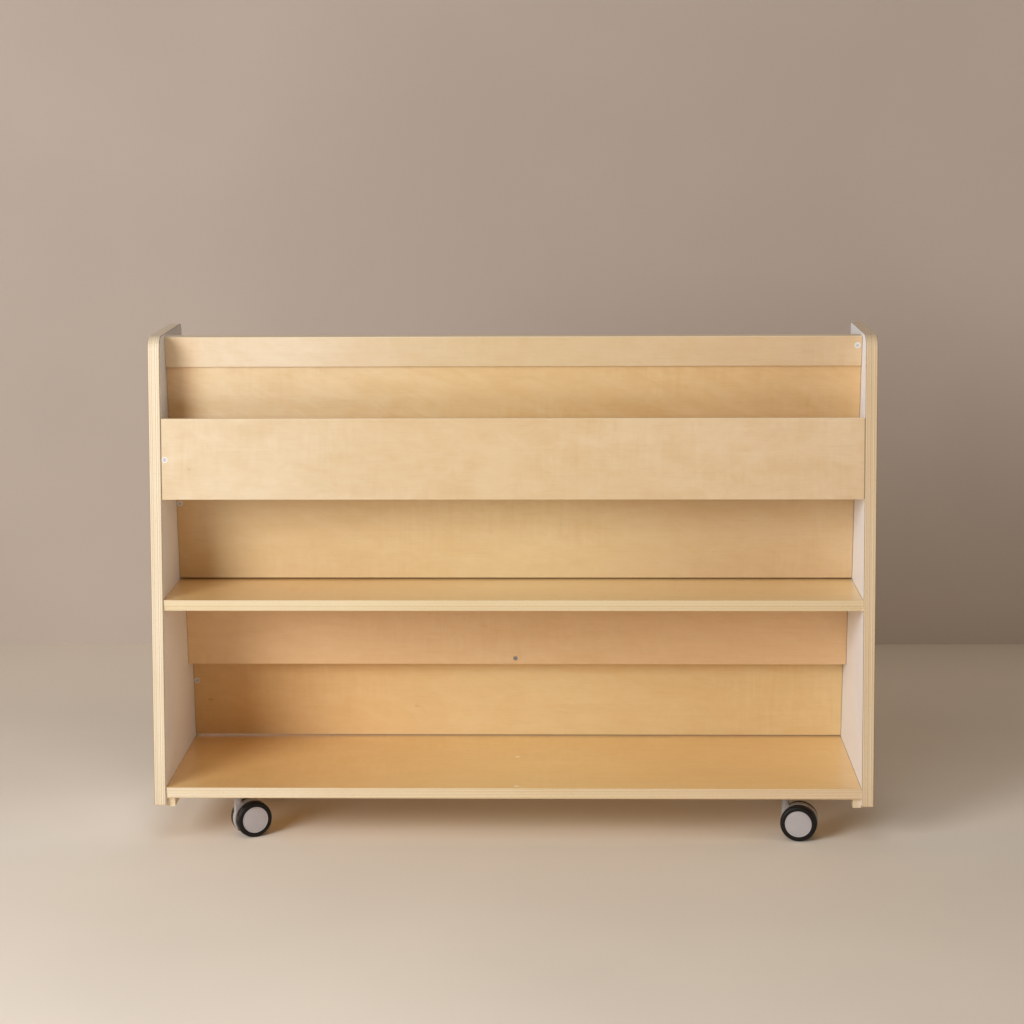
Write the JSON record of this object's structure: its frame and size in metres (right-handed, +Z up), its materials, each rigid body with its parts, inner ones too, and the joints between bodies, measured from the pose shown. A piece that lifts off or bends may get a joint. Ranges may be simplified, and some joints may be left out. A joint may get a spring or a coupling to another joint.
{
  "type": "book display shelf",
  "caption": "Double-sided mobile book display shelf with a lipped front pocket, open shelves below it, stepped face-out slots behind, tapered end panels and twin-wheel swivel castors.",
  "frame": {"origin": "centre of the footprint at floor level, midway between the end panels, under the wheels' lowest points", "axes": "+X along the boards from the left to the right end panel as seen from the lip side, +Y from the lip side to the slot side, +Z up"},
  "size_m": [1.2, 0.3698, 0.85],
  "materials": {
    "birch_board": "clear lacquered birch plywood, satin",
    "birch_core": "sanded and lacquered plywood edge with visible plies",
    "white_laminate": "fine-textured white laminate",
    "beech": "raw fluted dowel wood",
    "white_plastic": "smooth moulded",
    "zinc": "dull zinc",
    "steel": "bright zinc-plated",
    "castor_grey": "satin moulded nylon",
    "tyre_rubber": "matt black"
  },
  "bodies": {
    "carcass": {"end_panel_left": "birch_core", "end_panel_right": "birch_core", "laminate_left_inner": "white_laminate", "laminate_left_outer": "white_laminate", "laminate_right_inner": "white_laminate", "laminate_right_outer": "white_laminate", "top_rail": "birch_board", "upper_board": "birch_board", "middle_board": "birch_board", "rear_rail": "birch_board", "lower_board": "birch_board", "lip_board": "birch_board", "pocket_floor": "birch_board", "middle_shelf": "birch_board", "bottom_shelf": "birch_board", "rear_ledge": "birch_board", "cleat_left": "birch_board", "cleat_right": "birch_board", "dowels": "beech", "cam_housings": "white_plastic", "cam_discs": "zinc", "connecting_bolts": "steel", "ledge_screw": "zinc", "cleat_screws": "zinc", "castor_screws": "zinc", "shelf_plugs": "white_plastic", "castor_fl_plate": "steel", "castor_fl_pin": "steel", "castor_fr_plate": "steel", "castor_fr_pin": "steel", "castor_rl_plate": "steel", "castor_rl_pin": "steel", "castor_rr_plate": "steel", "castor_rr_pin": "steel"},
    "castor_fl_swivel": {"castor_fl_body": "castor_grey", "castor_fl_axle": "steel"},
    "castor_fl_near_wheel": {"castor_fl_wheel_near": "castor_grey", "castor_fl_tyre_near": "tyre_rubber"},
    "castor_fl_far_wheel": {"castor_fl_wheel_far": "castor_grey", "castor_fl_tyre_far": "tyre_rubber"},
    "castor_fr_swivel": {"castor_fr_body": "castor_grey", "castor_fr_axle": "steel"},
    "castor_fr_near_wheel": {"castor_fr_wheel_near": "castor_grey", "castor_fr_tyre_near": "tyre_rubber"},
    "castor_fr_far_wheel": {"castor_fr_wheel_far": "castor_grey", "castor_fr_tyre_far": "tyre_rubber"},
    "castor_rl_swivel": {"castor_rl_body": "castor_grey", "castor_rl_axle": "steel"},
    "castor_rl_near_wheel": {"castor_rl_wheel_near": "castor_grey", "castor_rl_tyre_near": "tyre_rubber"},
    "castor_rl_far_wheel": {"castor_rl_wheel_far": "castor_grey", "castor_rl_tyre_far": "tyre_rubber"},
    "castor_rr_swivel": {"castor_rr_body": "castor_grey", "castor_rr_axle": "steel"},
    "castor_rr_near_wheel": {"castor_rr_wheel_near": "castor_grey", "castor_rr_tyre_near": "tyre_rubber"},
    "castor_rr_far_wheel": {"castor_rr_wheel_far": "castor_grey", "castor_rr_tyre_far": "tyre_rubber"}
  },
  "joints": [
    {"name": "castor_fl_turn", "type": "hinge", "parent": "carcass", "child": "castor_fl_swivel", "pos_m": [-0.467, -0.1282, 0.07], "axis": [0, 0, 1], "continuous": true},
    {"name": "castor_fl_near_spin", "type": "hinge", "parent": "castor_fl_swivel", "child": "castor_fl_near_wheel", "pos_m": [-0.44669, -0.1174, 0.031], "axis": [-0.4695, 0.8829, 0], "continuous": true},
    {"name": "castor_fl_far_spin", "type": "hinge", "parent": "castor_fl_swivel", "child": "castor_fl_far_wheel", "pos_m": [-0.44669, -0.1174, 0.031], "axis": [-0.4695, 0.8829, 0], "continuous": true},
    {"name": "castor_fr_turn", "type": "hinge", "parent": "carcass", "child": "castor_fr_swivel", "pos_m": [0.459, -0.1282, 0.07], "axis": [0, 0, 1], "continuous": true},
    {"name": "castor_fr_near_spin", "type": "hinge", "parent": "castor_fr_swivel", "child": "castor_fr_near_wheel", "pos_m": [0.48172, -0.13179, 0.031], "axis": [0.1564, 0.9877, 0], "continuous": true},
    {"name": "castor_fr_far_spin", "type": "hinge", "parent": "castor_fr_swivel", "child": "castor_fr_far_wheel", "pos_m": [0.48172, -0.13179, 0.031], "axis": [0.1564, 0.9877, 0], "continuous": true},
    {"name": "castor_rl_turn", "type": "hinge", "parent": "carcass", "child": "castor_rl_swivel", "pos_m": [-0.467, 0.1282, 0.07], "axis": [0, 0, 1], "continuous": true},
    {"name": "castor_rl_near_spin", "type": "hinge", "parent": "castor_rl_swivel", "child": "castor_rl_near_wheel", "pos_m": [-0.44422, 0.1314, 0.031], "axis": [-0.1392, 0.9903, 0], "continuous": true},
    {"name": "castor_rl_far_spin", "type": "hinge", "parent": "castor_rl_swivel", "child": "castor_rl_far_wheel", "pos_m": [-0.44422, 0.1314, 0.031], "axis": [-0.1392, 0.9903, 0], "continuous": true},
    {"name": "castor_rr_turn", "type": "hinge", "parent": "carcass", "child": "castor_rr_swivel", "pos_m": [0.459, 0.1282, 0.07], "axis": [0, 0, 1], "continuous": true},
    {"name": "castor_rr_near_spin", "type": "hinge", "parent": "castor_rr_swivel", "child": "castor_rr_near_wheel", "pos_m": [0.48122, 0.12225, 0.031], "axis": [0.2588, 0.9659, 0], "continuous": true},
    {"name": "castor_rr_far_spin", "type": "hinge", "parent": "castor_rr_swivel", "child": "castor_rr_far_wheel", "pos_m": [0.48122, 0.12225, 0.031], "axis": [0.2588, 0.9659, 0], "continuous": true}
  ]
}
